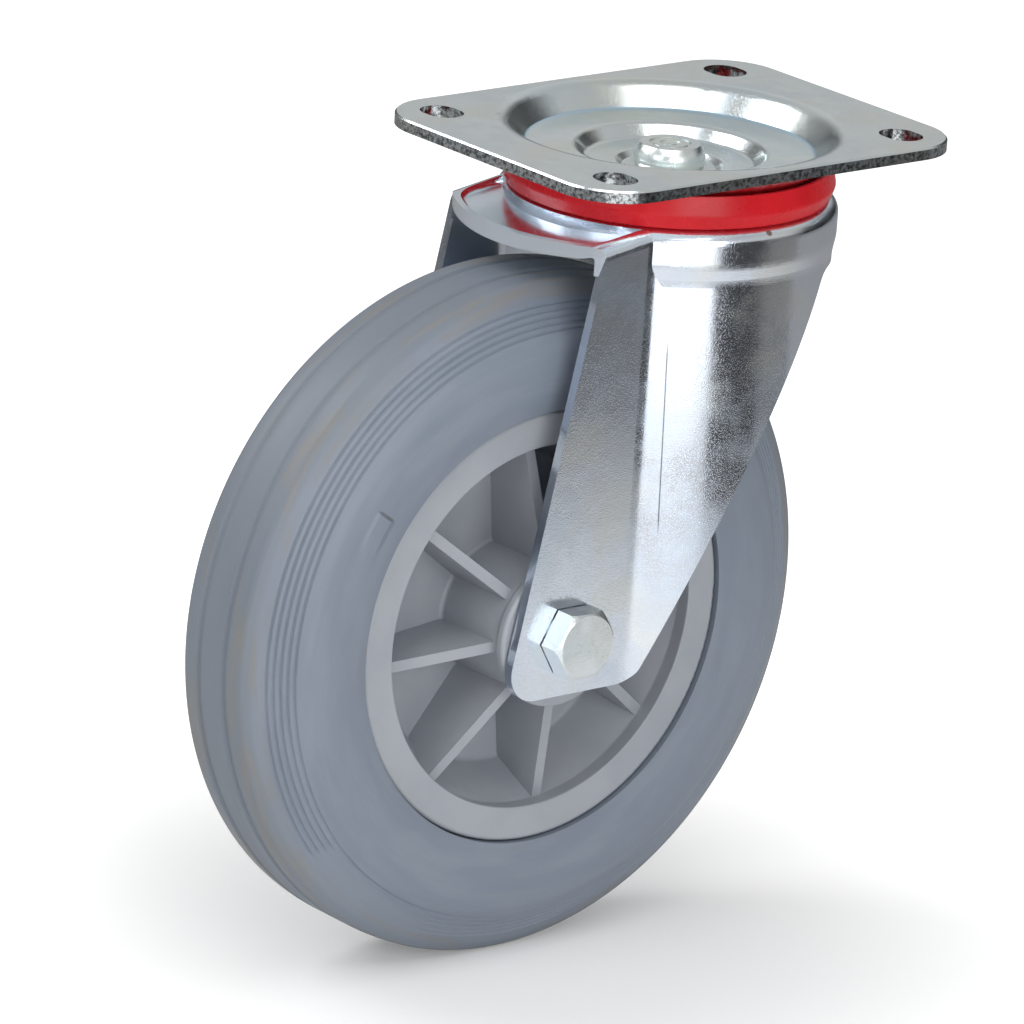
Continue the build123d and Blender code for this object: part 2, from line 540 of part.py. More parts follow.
def tyre_outline():
    """Cross-section of the tyre: bulged sides, straight shoulders, flat tread, and the rim's shape inside."""
    top_r = WHEEL_D / 2
    (foot_r, foot_x), (edge_r, edge_x) = tyre_shoulder()
    seat_x = RIM_FACE_X - RIM_FLANGE
    well_r = RIM_WAIST_R + RIM_WALL
    seat_r = RIM_BORE_R + RIM_WALL
    widest = ((BEAD_R + foot_r) / 2, WHEEL_WIDTH / 2)
    sides = [ThreePointArc(*[(r, 0, side * x) for r, x in ((BEAD_R, foot_x), widest, (foot_r, foot_x))])
             for side in (-1, 1)]
    tread = Polyline((foot_r, 0, -foot_x), (edge_r, 0, -edge_x), (top_r, 0, -TREAD_FLAT_X),
                     (top_r, 0, TREAD_FLAT_X), (edge_r, 0, edge_x), (foot_r, 0, foot_x))
    bore = FilletPolyline((BEAD_R, 0, foot_x), (BEAD_R, 0, seat_x), (seat_r, 0, seat_x),
                          (well_r, 0, WEB_THICKNESS), (well_r, 0, -WEB_THICKNESS), (seat_r, 0, -seat_x),
                          (BEAD_R, 0, -seat_x), (BEAD_R, 0, -foot_x),
                          radius=[RIM_SEAT_FILLET, RIM_SEAT_FILLET, RIM_WELL_FILLET, RIM_WELL_FILLET,
                                  RIM_SEAT_FILLET, RIM_SEAT_FILLET])
    outline = make_face(Curve() + [*sides, tread, bore])
    for (at_r, at_x), radius in (((foot_r, foot_x), TYRE_SHOULDER_R), ((edge_r, edge_x), TREAD_EDGE_R),
                                 ((top_r, TREAD_FLAT_X), TREAD_ROUND_R)):
        corners = [v for v in outline.vertices() if abs(v.X - at_r) < SAME and abs(abs(v.Z) - at_x) < SAME]
        outline = fillet(corners, radius)
    return outline


def tyre():
    top_r = WHEEL_D / 2
    groove_r = top_r - TREAD_GROOVE_DEPTH
    body = revolve(tyre_outline(), Axis.Z)
    for x in (-TREAD_GROOVE_X, TREAD_GROOVE_X):
        body -= turned([(groove_r, x - TREAD_GROOVE_WIDTH / 4), (groove_r, x + TREAD_GROOVE_WIDTH / 4),
                        (top_r + CUT, x + TREAD_GROOVE_WIDTH), (top_r + CUT, x - TREAD_GROOVE_WIDTH)])
    rings = [side_ring(top_r - SIDE_RING_DROP + i * SIDE_RING_PITCH) for i in range(SIDE_RINGS)]
    body -= rings + [mirror(ring, Plane.XY) for ring in rings]
    return along_axle(body)


def rim_and_web():
    """Half outline of the moulded wheel centre, turned and mirrored about its web."""
    half_web = WEB_THICKNESS / 2
    seat_x = RIM_FACE_X - RIM_FLANGE
    seat_r = RIM_BORE_R + RIM_WALL
    well_r = RIM_WAIST_R + RIM_WALL
    lip_x = HUB_END_X - HUB_LIP
    outline = FilletPolyline(
        (HUB_BORE_R, 0, 0), (HUB_BORE_R, 0, HUB_END_X), (HUB_LIP_R, 0, HUB_END_X), (HUB_LIP_R, 0, lip_x),
        (HUB_R, 0, lip_x - HUB_LIP_SLANT), (HUB_R + HUB_DRAFT, 0, half_web), (RIM_WAIST_R, 0, half_web),
        (RIM_BORE_R, 0, RIM_FACE_X - RIB_SETBACK), (RIM_BORE_R, 0, RIM_FACE_X), (RIM_R, 0, RIM_FACE_X),
        (RIM_R, 0, seat_x), (seat_r, 0, seat_x), (well_r, 0, WEB_THICKNESS), (well_r, 0, 0),
        radius=[*HUB_FILLETS, RIM_WEB_FILLET, RIM_WEB_FILLET, RIM_BORE_EDGE_R, RIM_EDGE_R, RIM_BACK_EDGE_R,
                RIM_SEAT_FILLET, RIM_WELL_FILLET])
    half = revolve(make_face(Curve() + [outline, Line((well_r, 0, 0), (HUB_BORE_R, 0, 0))]), Axis.Z)
    return half + mirror(half, Plane.XY)


def wheel_centre():
    slope = (RIB_HUB_X - (RIM_FACE_X - RIB_SETBACK)) / (RIM_BORE_R - HUB_R)
    hub_x = RIB_HUB_X + RIB_ROOT * slope
    rim_x = RIM_FACE_X - RIB_SETBACK - RIB_ROOT * slope
    half_web = WEB_THICKNESS / 2
    inner_r, outer_r, waist_r = HUB_R - RIB_ROOT, RIM_BORE_R + RIB_ROOT, RIM_WAIST_R + RIB_ROOT
    rib_face = Polyline((inner_r, 0, -hub_x), (inner_r, 0, hub_x), (outer_r, 0, rim_x),
                        (waist_r, 0, half_web), (waist_r, 0, -half_web), (outer_r, 0, -rim_x), close=True)
    rib = extrude(make_face(rib_face), RIB_THICKNESS / 2, both=True, dir=(0, 1, 0))
    body = rim_and_web()
    body += [Rot(0, 0, 90 + RIB_FIRST_ANGLE + 360 * i / RIBS) * rib for i in range(RIBS)]
    return along_axle(body)


# ================================================================ roller bearing
def bearing_shell():
    wall = Circle(HUB_BORE_R) - Circle(SHELL_INNER_R)
    return along_axle(extrude(wall, SHELL_LENGTH / 2, both=True))


def roller_cage():
    wall = Circle(SHELL_INNER_R - CAGE_GAP) - Circle(SLEEVE_R + CAGE_GAP)
    body = extrude(wall, ROLLER_LENGTH / 2 + CAGE_END, both=True)
    pocket = Cylinder(ROLLER_D / 2 + ROLLER_POCKET_GAP, ROLLER_LENGTH + 2 * ROLLER_POCKET_GAP)
    return along_axle(body - ring_of(ROLLERS, ROLLER_PITCH_R, 0, pocket))


def rollers():
    roller = Cylinder(ROLLER_D / 2, ROLLER_LENGTH)
    return [along_axle(r) for r in ring_of(ROLLERS, ROLLER_PITCH_R, 0, roller)]


def hub_seal(side):
    """Ring that closes the hub's end: side is 1 at the bolt head and -1 at the nut."""
    inner_x, outer_x = SHELL_LENGTH / 2, HUB_END_X - SEAL_RING_RECESS
    wall = Circle(HUB_BORE_R) - Circle(SLEEVE_R + SEAL_RING_GAP)
    ring = Pos(0, 0, inner_x) * extrude(wall, outer_x - inner_x)
    return along_axle(ring if side > 0 else mirror(ring, Plane.XY))


# ================================================================ assembly
def build_all():
    ball = Sphere(BALL_R)
    return {
        "top_plate": top_plate(),
        "king_pin": king_pin(),
        "upper_balls": ring_of(UPPER_BALLS, UPPER_RACE_R, UPPER_BALL_Z, ball),
        "lower_balls": ring_of(LOWER_BALLS, LOWER_RACE_R, LOWER_BALL_Z, ball),
        "lower_race": lower_race(),
        "dust_seal": dust_seal(),
        "fork": fork(),
        "axle_bolt": axle_bolt(),
        "nut_washer": nut_washer(),
        "axle_nut": axle_nut(),
        "nut_insert": nut_insert(),
        "axle_sleeve": axle_sleeve(),
        "tyre": tyre(),
        "wheel_centre": wheel_centre(),
        "bearing_shell": bearing_shell(),
        "roller_cage": roller_cage(),
        "rollers": rollers(),
        "near_hub_seal": hub_seal(1),
        "far_hub_seal": hub_seal(-1),
    }


os.makedirs("parts", exist_ok=True)
for node, shape in build_all().items():
    solids = Compound(children=shape) if isinstance(shape, list) else shape
    export_step(solids, f"parts/{node}.step")
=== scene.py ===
"""Dresses the swivel castor: plated steel, rubber tyre, moulded centre, threaded bolt and a plain studio."""

import logging
import math
from dataclasses import dataclass, field
from enum import Enum
from typing import Iterable, Optional, Sequence, Union

import bmesh
import bpy
from mathutils import Matrix, Vector


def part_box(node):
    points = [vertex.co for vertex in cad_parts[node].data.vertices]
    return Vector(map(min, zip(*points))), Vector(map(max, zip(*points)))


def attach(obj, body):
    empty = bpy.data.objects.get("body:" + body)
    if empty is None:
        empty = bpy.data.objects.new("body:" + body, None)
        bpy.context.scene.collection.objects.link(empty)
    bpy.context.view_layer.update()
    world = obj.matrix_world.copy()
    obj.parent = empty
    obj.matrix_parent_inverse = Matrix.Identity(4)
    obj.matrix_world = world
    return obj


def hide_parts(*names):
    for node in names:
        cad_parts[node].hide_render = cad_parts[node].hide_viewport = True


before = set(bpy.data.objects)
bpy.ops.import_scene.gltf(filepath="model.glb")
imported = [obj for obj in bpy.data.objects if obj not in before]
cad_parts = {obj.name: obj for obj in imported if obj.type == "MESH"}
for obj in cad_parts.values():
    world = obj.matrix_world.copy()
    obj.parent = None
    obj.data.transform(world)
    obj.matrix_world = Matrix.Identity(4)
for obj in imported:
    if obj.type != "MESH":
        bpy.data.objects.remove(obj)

Colour = tuple[float, float, float]
Place = tuple[float, float, float]
Point = tuple[float, float]
Size = tuple[float, float]              # width and height
Span = tuple[float, float]              # the two ends of a range
Band = tuple[float, float]              # half a band's width, and the width of each soft edge
Streaks = tuple[float, float, float]    # features to a metre across the wheel, to a radius round it; octaves
Socket = bpy.types.NodeSocket
Material = bpy.types.Material
Input = Union[Socket, float, Sequence[float]]

log = logging.getLogger("castor")

MM = 0.001
FULL_TURN = 2 * math.pi
WELD_GAP = 0.001 * MM                           # points closer than this become one
MOST_NOISE: Span = (0.35, 0.65)                 # nearly all of a noise's values lie between these
WHEEL_AXIS = (0.0, -54.0 * MM, -135.0 * MM)     # a point on the axle, which lies along X
FLOOR_Z = -235.0 * MM


class Body(Enum):
    """The castor's three moving bodies."""

    PLATE = "plate"
    FORK = "fork"
    WHEEL = "wheel"


def add_object(name: str, data: bpy.types.ID) -> bpy.types.Object:
    """Put a new object with its data into the scene, at the origin."""
    made = bpy.data.objects.new(name, data)
    bpy.context.scene.collection.objects.link(made)
    return made


# ---------------- node trees
class Tree:
    """Short calls for making the nodes of one tree."""

    def __init__(self, tree: bpy.types.NodeTree) -> None:
        """Empty the tree.

        Args:
            tree: The tree of a material, of the world or of a node group.
        """
        self.tree = tree
        self.tree.nodes.clear()

    def node(self, kind: str, inputs: Optional[dict[Union[str, int], object]] = None,
             **settings: object) -> bpy.types.Node:
        """Add a node.

        Args:
            kind: Its type name.
            inputs: Values or links for its input sockets.
            settings: Properties set on the node.

        Returns:
            The node.
        """
        made = self.tree.nodes.new(kind)
        for name, value in settings.items():
            setattr(made, name, value)
        for key, value in (inputs or {}).items():
            self.feed(made.inputs[key], value)
        return made

    def feed(self, socket: Socket, value: object) -> None:
        """Link a socket, or set it to a value; a colour gets its alpha."""
        if isinstance(value, Socket):
            self.tree.links.new(value, socket)
        elif isinstance(value, tuple) and len(value) < len(socket.default_value):
            socket.default_value = (*value, 1.0)
        else:
            socket.default_value = value

    def sums(self, operation: str, *values: Input) -> Socket:
        """The result of one Math node."""
        return self.node("ShaderNodeMath", dict(enumerate(values)), operation=operation).outputs[0]

    def times(self, first: Input, *others: Input) -> Socket:
        """The product of some values."""
        for other in others:
            first = self.sums("MULTIPLY", first, other)
        return first

    def plus(self, first: Input, *others: Input) -> Socket:
        """The total of some values."""
        for other in others:
            first = self.sums("ADD", first, other)
        return first

    def length(self, *parts: Input) -> Socket:
        """Length of a vector, from its parts."""
        return self.sums("SQRT", self.plus(*(self.times(part, part) for part in parts)))

    def parts(self, vector: Input) -> tuple[Socket, ...]:
        """The X, Y and Z of a vector."""
        return tuple(self.node("ShaderNodeSeparateXYZ", {0: vector}).outputs)

    def vector(self, x: Input, y: Input, z: Input) -> Socket:
        """A vector from its three parts."""
        return self.node("ShaderNodeCombineXYZ", {0: x, 1: y, 2: z}).outputs[0]


class Nodes(Tree):
    """The shader nodes of a material or of the world."""

    def place(self, centre: Sequence[float] = (0.0, 0.0, 0.0)) -> Socket:
        """Position on the object, in metres from a centre.

        Args:
            centre: The point that becomes the pattern's origin.

        Returns:
            The position's socket.
        """
        position = self.node("ShaderNodeTexCoord").outputs["Object"]
        location = tuple(-c for c in centre)
        return self.node("ShaderNodeMapping", {"Vector": position, "Location": location}).outputs["Vector"]

    def facing(self) -> Socket:
        """The surface's own direction on the object, whatever the view."""
        return self.node("ShaderNodeTexCoord").outputs["Normal"]

    def ray(self, kind: str) -> Socket:
        """One where the light path's ray is of a kind, and nothing elsewhere."""
        return self.node("ShaderNodeLightPath").outputs[kind]

    def away(self, centre: Sequence[float]) -> Socket:
        """Distance of the surface from a place on the castor, in metres."""
        return self.length(*self.parts(self.place(centre)))

    def noise(self, at: Input, scale: float, detail: float = 2.0, roughness: float = 0.5,
              w: Optional[Input] = None) -> Socket:
        """Fractal noise from about 0.3 to 0.7.

        Args:
            at: Where it is read.
            scale: Features to a metre.
            detail: Octaves.
            roughness: How much the fine octaves count.
            w: A fourth coordinate, where the pattern has one.

        Returns:
            The noise value's socket.
        """
        inputs: dict[str, Input] = {"Vector": at, "Scale": scale, "Detail": detail, "Roughness": roughness}
        if w is None:
            return self.node("ShaderNodeTexNoise", inputs).outputs[0]
        return self.node("ShaderNodeTexNoise", {**inputs, "W": w}, noise_dimensions="4D").outputs[0]

    def fade(self, value: Input, low: float, high: float, start: float = 0.0, end: float = 1.0) -> Socket:
        """Smooth step between two values.

        Args:
            value: What is read.
            low: Value at which the step begins.
            high: Value at which it is complete.
            start: Result below low.
            end: Result above high.

        Returns:
            The result's socket.
        """
        ends = {"Value": value, "From Min": low, "From Max": high, "To Min": start, "To Max": end}
        return self.node("ShaderNodeMapRange", ends, interpolation_type="SMOOTHSTEP").outputs[0]

    def band(self, value: Input, middle: float, half_width: float, soft: float) -> Socket:
        """One inside a band of values and nothing outside it.

        Args:
            value: What is read.
            middle: Middle of the band.
            half_width: Half its width.
            soft: Width of each soft edge.

        Returns:
            The mask's socket.
        """
        off = self.sums("ABSOLUTE", self.sums("SUBTRACT", value, middle))
        return self.fade(off, half_width, half_width + soft, 1.0, 0.0)

    def blend(self, share: Input, first: Input, second: Input) -> Socket:
        """Mix two colours.

        Args:
            share: How much of the second shows.
            first: The colour beneath.
            second: The colour on top.

        Returns:
            The colour's socket.
        """
        # its sockets for colours share their names with others, so they go by number
        return self.node("ShaderNodeMix", {0: share, 6: first, 7: second}, data_type="RGBA").outputs[2]

    def bump(self, height: Input, depth: float, after: Optional[Socket] = None) -> Socket:
        """Turn a height into a surface direction.

        Args:
            height: Height from 0 to 1.
            depth: What a height of 1 measures, in metres.
            after: An earlier bump that this one is laid on.

        Returns:
            The direction's socket.
        """
        node = self.node("ShaderNodeBump", {"Strength": 1.0, "Distance": depth, "Height": height})
        if after is not None:
            self.feed(node.inputs["Normal"], after)
        return node.outputs[0]


class Shader(Nodes):
    """One surface material."""

    def __init__(self, name: str) -> None:
        """Start a surface with one Principled shader.

        Args:
            name: The material's name.
        """
        self.material = bpy.data.materials.new(name)
        self.material.use_nodes = True
        super().__init__(self.material.node_tree)
        self.surface = self.node("ShaderNodeBsdfPrincipled")
        self.node("ShaderNodeOutputMaterial", {"Surface": self.surface.outputs["BSDF"]})

    def set(self, **values: Input) -> None:
        """Give the Principled shader's sockets their values or links.

        Args:
            values: Socket names with underscores for spaces, and what each one gets.
        """
        for name, value in values.items():
            self.feed(self.surface.inputs[name.replace("_", " ")], value)


class GeometryTree(Tree):
    """A Geometry Nodes tree with named sizes, built node by node."""

    def __init__(self, name: str) -> None:
        """Start a tree with a geometry input and output.

        Args:
            name: The tree's name.
        """
        super().__init__(bpy.data.node_groups.new(name, "GeometryNodeTree"))
        self.tree.interface.new_socket("Geometry", in_out="INPUT", socket_type="NodeSocketGeometry")
        self.tree.interface.new_socket("Geometry", in_out="OUTPUT", socket_type="NodeSocketGeometry")
        self.entry = self.node("NodeGroupInput")
        self.identifiers: dict[str, str] = {}

    def size(self, name: str, kind: str = "NodeSocketFloat") -> Socket:
        """Add a named input.

        Args:
            name: The input's name.
            kind: Its socket type.

        Returns:
            The socket that the tree's nodes read.
        """
        made = self.tree.interface.new_socket(name, in_out="INPUT", socket_type=kind)
        self.identifiers[name] = made.identifier
        return self.entry.outputs[name]

    def grid(self, columns: Input, rows: Input) -> bpy.types.Node:
        """A flat sheet of points, one unit square, about the origin."""
        sizes = {"Size X": 1.0, "Size Y": 1.0, "Vertices X": columns, "Vertices Y": rows}
        return self.node("GeometryNodeMeshGrid", sizes)

    def wind(self, sheet: bpy.types.Node, along: Input, radius: Input, turn: Input,
             material: Material) -> None:
        """End the tree in a sheet that is wound round the axle, welded and dressed.

        Args:
            sheet: The node that makes the flat sheet.
            along: Where each of its points goes on X.
            radius: How far from the axle.
            turn: How far round it.
            material: The finish of every face.
        """
        axis = self.size("Axle", "NodeSocketVector")
        across, up = (self.times(radius, self.sums(way, turn)) for way in ("COSINE", "SINE"))
        at = self.node("ShaderNodeVectorMath", {0: self.vector(along, across, up), 1: axis}, operation="ADD")
        moved = self.node("GeometryNodeSetPosition", {"Geometry": sheet.outputs[0], "Position": at.outputs[0]})
        welded = self.node("GeometryNodeMergeByDistance", {"Geometry": moved.outputs[0], "Distance": WELD_GAP})
        real = self.node("GeometryNodeRealizeInstances", {0: welded.outputs[0]})
        dressed = self.node("GeometryNodeSetMaterial", {"Geometry": real.outputs[0], "Material": material})
        self.node("NodeGroupOutput", {0: dressed.outputs[0]})

    def bake(self, name: str, seed_mesh: bpy.types.Mesh, sizes: dict[str, object]) -> bpy.types.Object:
        """Run the tree once and keep its result as a plain mesh.

        Args:
            name: Name of the finished piece.
            seed_mesh: The mesh that enters the tree.
            sizes: A value for each named input.

        Returns:
            The finished piece, at the origin and with no modifier.
        """
        carrier = add_object(name, seed_mesh)
        modifier = carrier.modifiers.new("Shape", "NODES")
        modifier.node_group = self.tree
        for label, value in sizes.items():
            modifier[self.identifiers[label]] = value
        graph = bpy.context.evaluated_depsgraph_get()
        mesh = bpy.data.meshes.new_from_object(carrier.evaluated_get(graph), depsgraph=graph)
        carrier.modifiers.remove(modifier)
        carrier.data = mesh
        mesh.name = name
        return carrier


# ---------------- finishes
@dataclass(frozen=True)
class PlatedSteel:
    """Zinc plate on rolled or forged steel, bright and finely speckled, with faint blue and yellow clouds."""

    name: str
    tone: Colour = (0.84, 0.905, 0.915)
    cool: Colour = (0.72, 0.85, 0.95)
    warm: Colour = (0.88, 0.90, 0.81)
    tint: float = 0.45
    cloud: float = 18.0
    cloud_span: Span = (0.42, 0.58)
    haze: float = 75.0
    haze_span: Span = (0.38, 0.62)
    roughness: Span = (0.12, 0.22)
    roughness_span: Span = (0.36, 0.64)
    speck: float = 2900.0
    speck_span: Span = (0.50, 0.72)
    speck_depth: float = 0.012 * MM
    wave: float = 120.0
    wave_depth: float = 0.030 * MM

    def material(self) -> Material:
        """Build the finish.

        Returns:
            The material.
        """
        s = Shader(self.name)
        at = s.place()
        cloud = s.noise(at, self.cloud, detail=3.0)
        haze = s.noise(at, self.haze, detail=4.0, roughness=0.6)
        specks = s.noise(at, self.speck, detail=1.0)
        wave = s.noise(at, self.wave, detail=3.0)
        hue = s.blend(s.fade(cloud, *self.cloud_span), self.cool, self.warm)
        clean = s.blend(s.times(s.fade(haze, *self.haze_span), self.tint), self.tone, hue)
        raised = s.fade(specks, *self.speck_span)
        s.set(Base_Color=self.marked(s, clean), Metallic=1.0,
              Roughness=s.fade(haze, *self.roughness_span, *self.roughness),
              Normal=s.bump(raised, self.speck_depth, s.bump(wave, self.wave_depth)))
        return s.material

    def marked(self, s: Shader, clean: Socket) -> Socket:
        """The marks that one piece alone carries, over the clean zinc; plain zinc has none."""
        return clean


@dataclass(frozen=True)
class PlateZinc(PlatedSteel):
    """Zinc on the top plate: dark, torn metal on its sheared edge and a pale line round the dish's floor."""

    name: str = "plate_zinc"
    sheared: Colour = (0.10, 0.10, 0.105)
    edge_r: Span = (51.5 * MM, 52.5 * MM)
    edge_band: Band = (0.25, 0.35)
    torn: float = 900.0
    torn_span: Span = (0.36, 0.60)
    torn_least: float = 0.45
    line: Colour = (0.66, 0.84, 0.96)
    line_r: float = 41.3 * MM
    line_band: Band = (0.3 * MM, 0.5 * MM)

    def marked(self, s: Shader, clean: Socket) -> Socket:
        """Add the sheared edge, where the surface faces sideways, and the line."""
        at = s.place()
        x, y, _ = s.parts(at)
        radius = s.length(x, y)
        _, _, up = s.parts(s.facing())
        edge = s.times(s.band(up, 0.0, *self.edge_band), s.fade(radius, *self.edge_r))
        torn = s.fade(s.noise(at, self.torn, detail=3.0, roughness=0.7), *self.torn_span, 1.0, self.torn_least)
        lined = s.blend(s.band(radius, self.line_r, *self.line_band), clean, self.line)
        return s.blend(s.times(edge, torn), lined, self.sheared)


@dataclass(frozen=True)
class ForkZinc(PlatedSteel):
    """Zinc on the fork: bluer, with painted shade in a thin dark line down the drum's bend beside the near leg,
    and a fleck of rust.
    """

    name: str = "fork_zinc"
    tone: Colour = (0.82, 0.88, 0.97)
    cool: Colour = (0.72, 0.84, 0.99)
    warm: Colour = (0.92, 0.93, 0.84)
    drum_r: float = 48.0 * MM
    # The next two set painted shade: a thin dark line where the sheet bends down the drum.
    crease_shade: Colour = (0.09, 0.10, 0.12)
    crease_shade_share: float = 0.8
    crease_top: float = -49.0 * MM
    crease_end: float = -108.0 * MM
    crease_fade: float = 6 * MM
    crease_turn: float = -0.646         # radians round the drum, at the crease's top
    crease_lean: float = 0.39           # radians for each metre further down
    crease_band: Band = (0.10 * MM, 0.15 * MM)
    rust: Colour = (0.25, 0.12, 0.05)
    rust_share: float = 0.85
    rust_at: Place = (47.7 * MM, -2.5 * MM, -19.6 * MM)
    rust_r: float = 1.2 * MM

    def marked(self, s: Shader, clean: Socket) -> Socket:
        """Add the painted shade down the bend, and the fleck of rust under the seal."""
        x, y, z = s.parts(s.place())
        down = s.sums("SUBTRACT", self.crease_top, z)
        line = s.sums("MULTIPLY_ADD", down, self.crease_lean, self.crease_turn)
        aside = s.times(s.sums("SUBTRACT", s.sums("ARCTAN2", y, x), line), self.drum_r)
        middle, half = (self.crease_top + self.crease_end) / 2, (self.crease_top - self.crease_end) / 2
        along = s.band(z, middle, half - self.crease_fade, self.crease_fade)
        # painted shade: a thin dark line down the drum's bend
        shade_line = s.times(s.band(aside, 0.0, *self.crease_band), along)
        crease_shaded = s.blend(s.times(shade_line, self.crease_shade_share), clean, self.crease_shade)
        fleck = s.fade(s.away(self.rust_at), self.rust_r / 2, self.rust_r, self.rust_share, 0.0)
        return s.blend(fleck, crease_shaded, self.rust)


@dataclass(frozen=True)
class BearingSteel:
    """Hardened, ground steel with a film of grease."""

    name: str = "bearing_steel"
    tone: Colour = (0.62, 0.63, 0.65)
    grease: Colour = (0.50, 0.49, 0.45)
    film: float = 420.0
    film_span: Span = (0.4, 0.65)
    roughness: Span = (0.12, 0.24)

    def material(self) -> Material:
        """Build the finish and return its material."""
        s = Shader(self.name)
        film = s.noise(s.place(), self.film, detail=3.0)
        s.set(Base_Color=s.blend(s.fade(film, *self.film_span), self.tone, self.grease), Metallic=1.0,
              Roughness=s.fade(film, *MOST_NOISE, *self.roughness))
        return s.material


@dataclass(frozen=True)
class MouldedPlastic:
    """An injection-moulded part, lightly mottled, with a fine skin."""

    name: str
    tone: Colour
    shade: Colour
    clouds: float = 26.0
    gloss: float = 0.5
    sheen: float = 140.0
    roughness: Span = (0.38, 0.50)
    skin: float = 900.0
    skin_depth: float = 0.012 * MM

    def material(self) -> Material:
        """Build the finish.

        Returns:
            The material.
        """
        s = Shader(self.name)
        at = s.place()
        cloud = s.noise(at, self.clouds, detail=4.0, roughness=0.6)
        sheen = s.noise(at, self.sheen, detail=3.0)
        s.set(Base_Color=s.blend(s.fade(cloud, *MOST_NOISE), self.tone, self.shade),
              Roughness=s.fade(sheen, *MOST_NOISE, *self.roughness), Specular_IOR_Level=self.gloss,
              Normal=s.bump(s.noise(at, self.skin), self.skin_depth))
        return s.material


@dataclass(frozen=True)
class TyreRubber:
    """Non-marking blue-grey rubber, streaked along the tread, stained on its shoulders and torn by the rim, with
    painted shade over the tread and in the torn slit.
    """

    name: str = "tyre_rubber"
    tone: Colour = (0.182, 0.214, 0.266)
    pale: Colour = (0.206, 0.238, 0.288)
    dark: Colour = (0.165, 0.190, 0.225)
    roughness: Span = (0.42, 0.58)
    wide: Streaks = (150.0, 2.2, 3.0)
    wide_span: Span = (0.36, 0.64)
    fine: Streaks = (650.0, 5.0, 3.0)
    fine_span: Span = (0.50, 0.66)
    fine_share: float = 0.16
    fine_depth: float = 0.02 * MM
    # The next two darken the tread all round with the dark colour, as painted shade.
    tread_span: Span = (96.0 * MM, 98.0 * MM)
    tread_shade_share: float = 0.70
    stain: Colour = (0.210, 0.200, 0.180)
    stains: Streaks = (260.0, 3.5, 4.0)
    stain_span: Span = (0.44, 0.64)
    stain_share: float = 0.7
    shoulder_x: float = 14.0 * MM
    shoulder_band: Band = (5.0 * MM, 4.0 * MM)
    shoulder_span: Span = (93.0 * MM, 97.0 * MM)
    # The next two set painted shade in the torn slit by the rim: a thin dark line.
    tear_shade: Colour = (0.050, 0.040, 0.035)
    tear_shade_share: float = 0.5
    tear_r: float = 74.0 * MM
    tear_turn: float = math.radians(145.0)
    tear_length: Band = (2.0 * MM, 2.0 * MM)
    tear_width: Band = (0.15 * MM, 0.35 * MM)
    tongue_rise: Span = (0.0, 0.8 * MM)
    tongue_fall: Span = (6.0 * MM, 14.0 * MM)
    tongue_height: float = 0.5 * MM
    spot: Colour = (0.22, 0.15, 0.07)
    spot_share: float = 0.75
    spot_at: Place = (23.0 * MM, -63.9 * MM, 2.9 * MM)      # from the axle
    spot_r: float = 1.1 * MM
    skin: float = 1300.0
    skin_depth: float = 0.012 * MM

    def material(self) -> Material:
        """Build the finish.

        Returns:
            The material.
        """
        s = Shader(self.name)
        x, y, z = s.parts(s.place(WHEEL_AXIS))
        radius = s.length(y, z)
        round_y, round_z = s.sums("DIVIDE", y, radius), s.sums("DIVIDE", z, radius)

        def streaks(across: float, along: float, detail: float) -> Socket:
            """Noise that is drawn out round the wheel."""
            turned = s.vector(s.times(x, across), s.times(round_y, along), s.times(round_z, along))
            return s.noise(turned, 1.0, detail, 0.6, s.times(radius, across))

        wide, fine, stains = streaks(*self.wide), streaks(*self.fine), streaks(*self.stains)
        colour = s.blend(s.fade(wide, *self.wide_span), self.tone, self.pale)
        colour = s.blend(s.times(s.fade(fine, *self.fine_span), self.fine_share), colour, self.dark)
        # painted shade: darker over the tread, all round the wheel
        tread = s.fade(radius, *self.tread_span)
        colour = s.blend(s.times(tread, self.tread_shade_share), colour, self.dark)

        sideways = s.sums("ABSOLUTE", x)
        shoulder = s.times(s.band(sideways, self.shoulder_x, *self.shoulder_band),
                          s.fade(radius, *self.shoulder_span))
        dirt = s.times(shoulder, s.fade(stains, *self.stain_span))
        colour = s.blend(s.times(dirt, self.stain_share), colour, self.stain)

        past = s.times(s.sums("SUBTRACT", s.sums("ARCTAN2", z, y), self.tear_turn), self.tear_r)
        near = s.times(s.band(radius, self.tear_r, *self.tear_length), s.sums("GREATER_THAN", x, 0.0))
        # painted shade inside the torn slit
        tear_shade = s.times(near, s.band(past, 0.0, *self.tear_width))
        colour = s.blend(s.times(tear_shade, self.tear_shade_share), colour, self.tear_shade)
        tongue = s.times(s.fade(past, *self.tongue_rise), s.fade(past, *self.tongue_fall, 1.0, 0.0), near)

        spotted = tuple(axle + off for axle, off in zip(WHEEL_AXIS, self.spot_at))
        spot = s.fade(s.away(spotted), self.spot_r / 2, self.spot_r, self.spot_share, 0.0)
        skin = s.noise(s.place(), self.skin, detail=3.0, roughness=0.6)
        relief = s.bump(tongue, self.tongue_height, s.bump(fine, self.fine_depth))
        s.set(Base_Color=s.blend(spot, colour, self.spot), Roughness=s.fade(wide, *MOST_NOISE, *self.roughness),
              Normal=s.bump(skin, self.skin_depth, relief))
        return s.material


def built(finish: Union[PlatedSteel, BearingSteel, MouldedPlastic, TyreRubber]) -> Material:
    """A dataclass field that builds its finish when the set is made."""
    return field(default_factory=finish.material)


